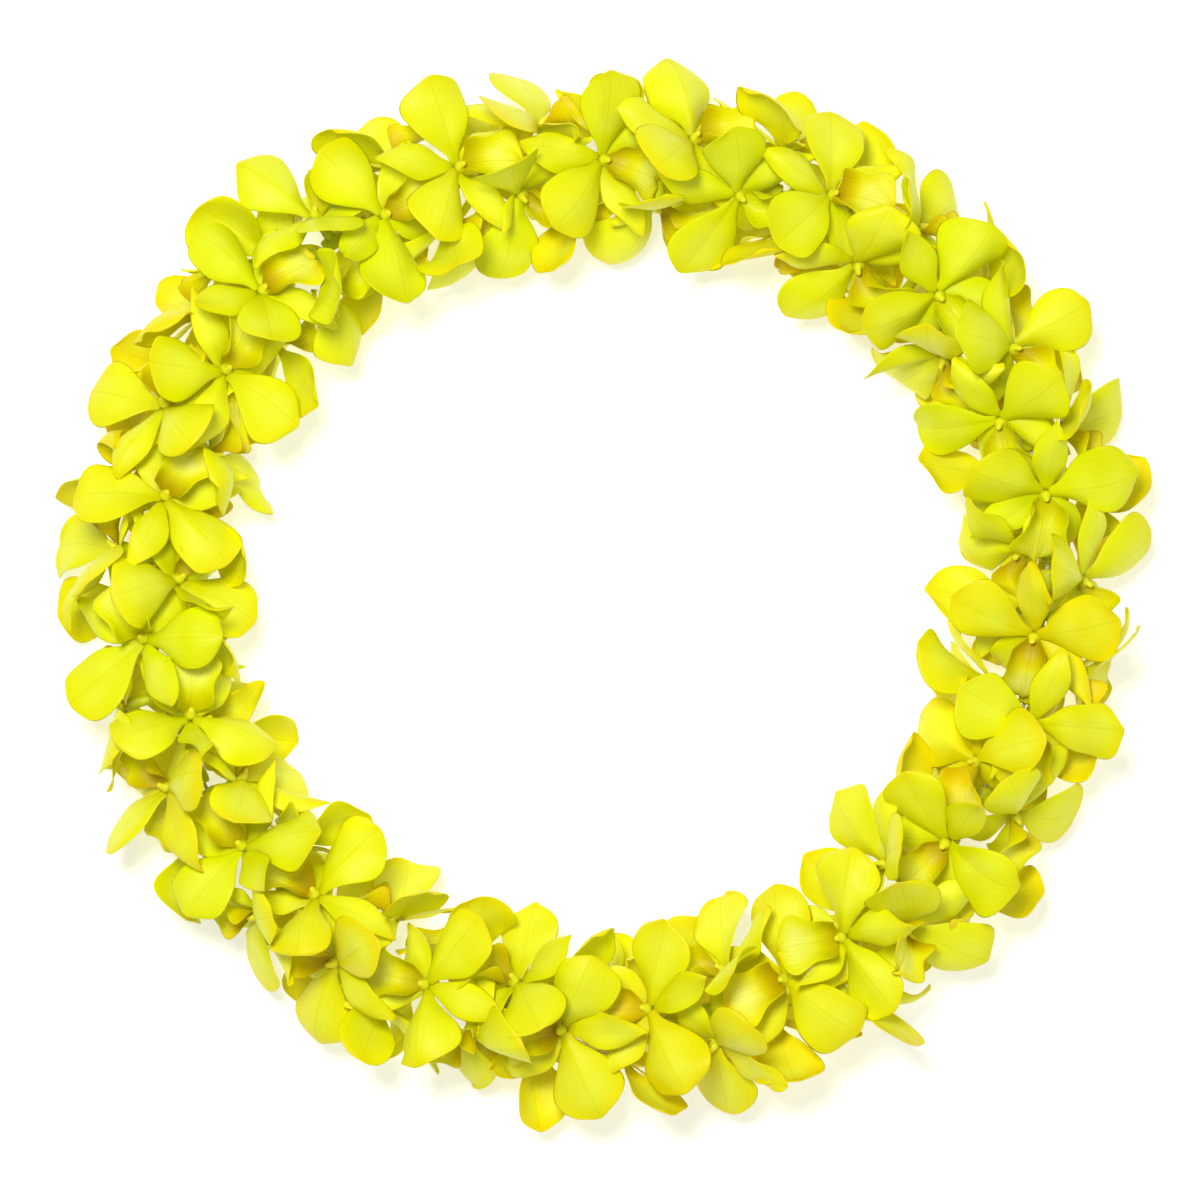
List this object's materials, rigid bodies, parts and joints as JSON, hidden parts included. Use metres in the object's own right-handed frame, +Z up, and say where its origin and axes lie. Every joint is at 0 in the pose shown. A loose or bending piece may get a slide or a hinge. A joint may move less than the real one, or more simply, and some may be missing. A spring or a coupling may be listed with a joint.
{
  "type": "flower lei",
  "caption": "Flower lei: a closed ring of yellow dendrobium orchid blooms strung through their bases on a knotted cotton thread, laid flat on a surface. Worn round the neck.",
  "frame": {"origin": "the middle of the lei's outline seen from above, on the surface that the lei rests on", "axes": "+Z up out of the surface, +X along the lei's slightly longer width, +Y across it. Seen from above, every lip points clockwise."},
  "size_m": [0.41, 0.4002, 0.0746],
  "materials": {
    "petal": "satin",
    "cotton": "matte"
  },
  "bodies": {
    "root": {"blooms_01": "petal", "blooms_02": "petal", "blooms_03": "petal", "blooms_04": "petal", "blooms_05": "petal", "blooms_06": "petal", "blooms_07": "petal", "blooms_08": "petal", "blooms_09": "petal", "blooms_10": "petal", "blooms_11": "petal", "blooms_12": "petal", "blooms_13": "petal", "blooms_14": "petal", "blooms_15": "petal", "blooms_16": "petal", "blooms_17": "petal", "blooms_18": "petal", "blooms_19": "petal", "blooms_20": "petal", "blooms_21": "petal", "blooms_22": "petal", "blooms_23": "petal", "blooms_24": "petal", "blooms_25": "petal", "blooms_26": "petal", "blooms_27": "petal", "blooms_28": "petal", "blooms_29": "petal", "blooms_30": "petal", "blooms_31": "petal", "blooms_32": "petal", "blooms_33": "petal", "blooms_34": "petal", "blooms_35": "petal", "blooms_36": "petal", "blooms_37": "petal", "blooms_38": "petal", "blooms_39": "petal", "blooms_40": "petal", "blooms_41": "petal", "blooms_42": "petal", "blooms_43": "petal", "blooms_44": "petal", "blooms_45": "petal", "blooms_46": "petal", "blooms_47": "petal", "blooms_48": "petal", "thread": "cotton"}
  },
  "joints": []
}
